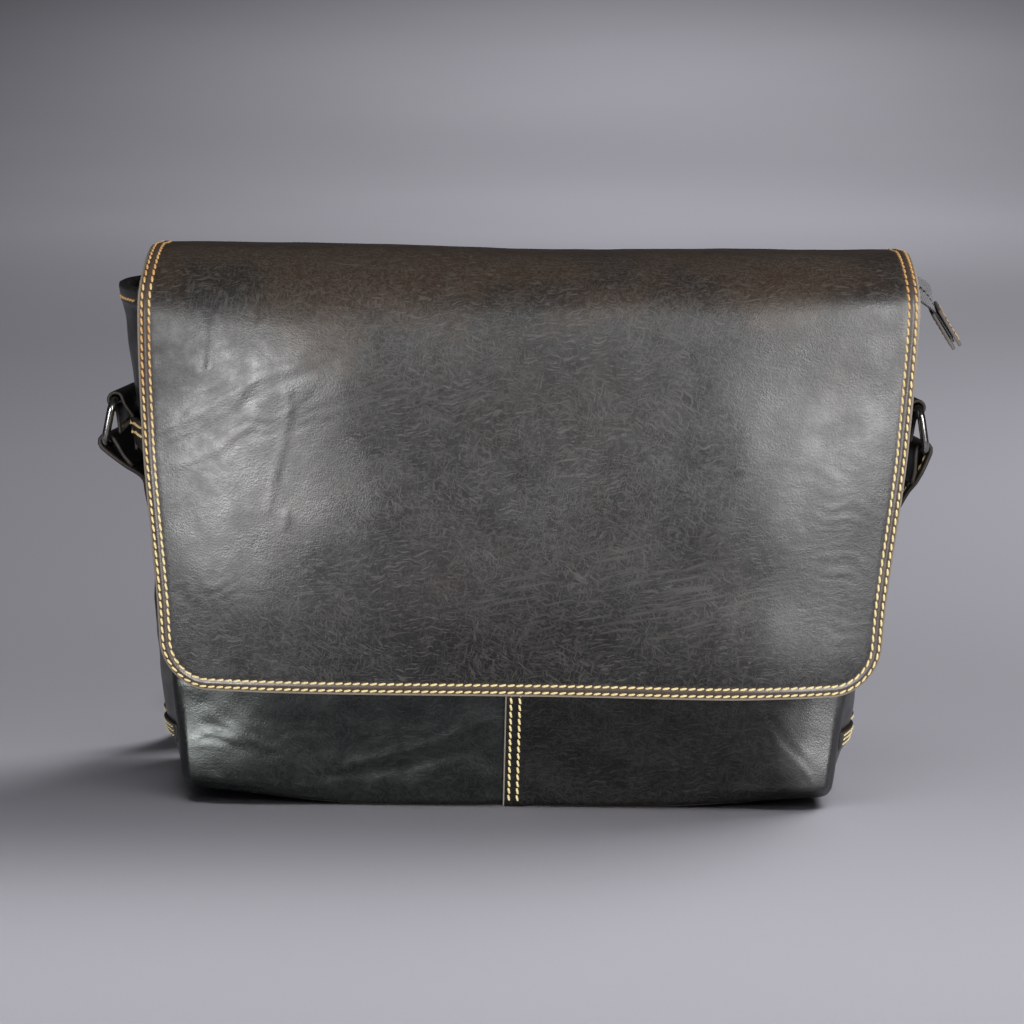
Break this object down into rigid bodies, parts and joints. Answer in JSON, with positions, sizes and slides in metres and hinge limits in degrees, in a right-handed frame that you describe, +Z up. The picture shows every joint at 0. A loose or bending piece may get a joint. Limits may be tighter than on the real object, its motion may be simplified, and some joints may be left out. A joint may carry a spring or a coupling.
{
  "type": "leather messenger bag",
  "caption": "Dark leather messenger bag standing on its base, with a wide stitched flap, side rings, a shoulder strap and an open zip.",
  "frame": {"origin": "on the floor, at the middle of the flat base", "axes": "+X to the right seen from the front, +Y from the front to the back, +Z up"},
  "size_m": [0.4283, 0.3013, 0.2718],
  "materials": {
    "leather": "waxed charcoal leather, satin with soft gloss",
    "strap_leather": "black brown leather, satin",
    "gunmetal": "dark polished gunmetal",
    "zip_cloth": "dark grey woven tape",
    "thread": "cream waxed thread"
  },
  "bodies": {
    "root": {"flap": "leather", "back_panel": "leather", "base_panel": "leather", "front_panel_left": "leather", "front_panel_right": "leather", "gusset_lower_left": "leather", "gusset_lower_right": "leather", "gusset_upper_left": "leather", "gusset_upper_right": "leather", "ring_tab_left": "strap_leather", "ring_tab_right": "strap_leather", "ring_left": "gunmetal", "ring_right": "gunmetal", "shoulder_strap": "strap_leather", "zip_tape_front": "zip_cloth", "zip_tape_back": "zip_cloth", "zip_end_tab": "strap_leather"}
  },
  "joints": []
}
